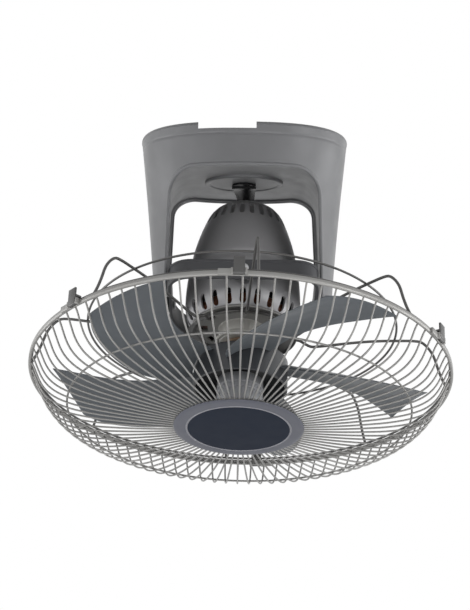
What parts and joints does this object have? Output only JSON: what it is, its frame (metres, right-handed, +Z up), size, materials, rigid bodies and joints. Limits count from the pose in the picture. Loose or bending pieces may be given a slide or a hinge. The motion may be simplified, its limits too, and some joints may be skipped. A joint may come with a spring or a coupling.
{
  "type": "orbital ceiling fan",
  "caption": "Orbiting ceiling fan: a round canopy with two legs holds a gimbal ring and a caged fan head that a crank under the canopy swings in a circle.",
  "frame": {"origin": "on the ceiling, on the canopy's axis", "axes": "+Z up into the ceiling, -Y to the front, where the fan head faces at rest, +X to the right seen from the front"},
  "size_m": [0.4273, 0.4144, 0.3532],
  "materials": {
    "canopy": "satin",
    "motor_shell": "satin",
    "casting": "cast",
    "guard": "metallic grey paint",
    "blade": "satin",
    "black_plastic": "moulded",
    "badge": "satin",
    "steel": "zinc plated",
    "copper": "enamelled wire",
    "laminate": "stacked sheet",
    "brass": "turned",
    "rubber": "moulded",
    "cream_plastic": "moulded"
  },
  "bodies": {
    "canopy": {"canopy_hood": "canopy", "crank_boss_cover": "canopy", "ceiling_plate": "steel", "hood_screw_left": "steel", "hood_screw_right": "steel", "terminal_block": "cream_plastic", "run_capacitor": "black_plastic", "swing_gear_case": "black_plastic", "swing_motor": "steel", "leg_pin_left": "steel", "leg_pin_right": "steel", "leg_washer_left": "black_plastic", "leg_washer_right": "black_plastic"},
    "crank": {"crank_arm": "black_plastic", "crank_bush": "rubber", "crank_shaft": "steel"},
    "gimbal_ring": {"gimbal_ring": "motor_shell", "ring_pin_front": "steel", "ring_pin_back": "steel"},
    "fan_head": {"motor_top_cover": "motor_shell", "motor_lower_housing": "motor_shell", "motor_front_bracket": "casting", "upper_bearing_bracket": "steel", "bearing_upper": "steel", "bearing_lower": "steel", "stator_core": "laminate", "winding_upper": "copper", "winding_lower": "copper", "tail_stud": "steel", "back_guard": "guard", "guard_nut": "black_plastic", "front_guard": "guard", "guard_support_ring": "guard", "hub_badge": "badge", "clip_body_front": "guard", "clip_body_left": "guard", "clip_body_right": "guard", "clip_body_back": "guard"},
    "rotor": {"motor_shaft": "steel", "rotor_core": "laminate", "shaft_collar": "brass", "blade_hub": "black_plastic", "spinner_nut": "blade", "blade_1": "blade", "blade_2": "blade", "blade_3": "blade", "blade_4": "blade", "blade_5": "blade"},
    "clip_lever_front": {"clip_lever_front": "guard"},
    "clip_lever_left": {"clip_lever_left": "guard"},
    "clip_lever_right": {"clip_lever_right": "guard"},
    "clip_lever_back": {"clip_lever_back": "guard"}
  },
  "joints": [
    {"name": "ring_tilt", "type": "hinge", "parent": "canopy", "child": "gimbal_ring", "pos_m": [0, 0, -0.171], "axis": [1, 0, 0], "range_deg": [0, 43]},
    {"name": "head_tilt", "type": "hinge", "parent": "gimbal_ring", "child": "fan_head", "pos_m": [0, 0, -0.171], "axis": [0, 0.9304, -0.3665], "range_deg": [-22.9, 20.1]},
    {"name": "blade_spin", "type": "hinge", "parent": "fan_head", "child": "rotor", "pos_m": [0, 0, -0.171], "axis": [0.0244, 0.3664, 0.9301], "continuous": true},
    {"name": "crank_spin", "type": "hinge", "parent": "canopy", "child": "crank", "pos_m": [0, 0, -0.02], "axis": [0, 0, 1], "continuous": true},
    {"name": "clip_front_swing", "type": "hinge", "parent": "fan_head", "child": "clip_lever_front", "pos_m": [-0.01157, -0.23319, -0.17119], "axis": [0.9988, -0.0495, -0.0067], "range_deg": [0, 95]},
    {"name": "clip_left_swing", "type": "hinge", "parent": "fan_head", "child": "clip_lever_left", "pos_m": [-0.1659, -0.16253, -0.19497], "axis": [0.6559, -0.7081, 0.2617], "range_deg": [0, 95]},
    {"name": "clip_right_swing", "type": "hinge", "parent": "fan_head", "child": "clip_lever_right", "pos_m": [0.18773, -0.1311, -0.21664], "axis": [0.4847, 0.8094, -0.3316], "range_deg": [0, 95]},
    {"name": "clip_back_swing", "type": "hinge", "parent": "fan_head", "child": "clip_lever_back", "pos_m": [0.02435, 0.16878, -0.33048], "axis": [-0.9922, 0.1223, -0.0221], "range_deg": [0, 95]}
  ]
}
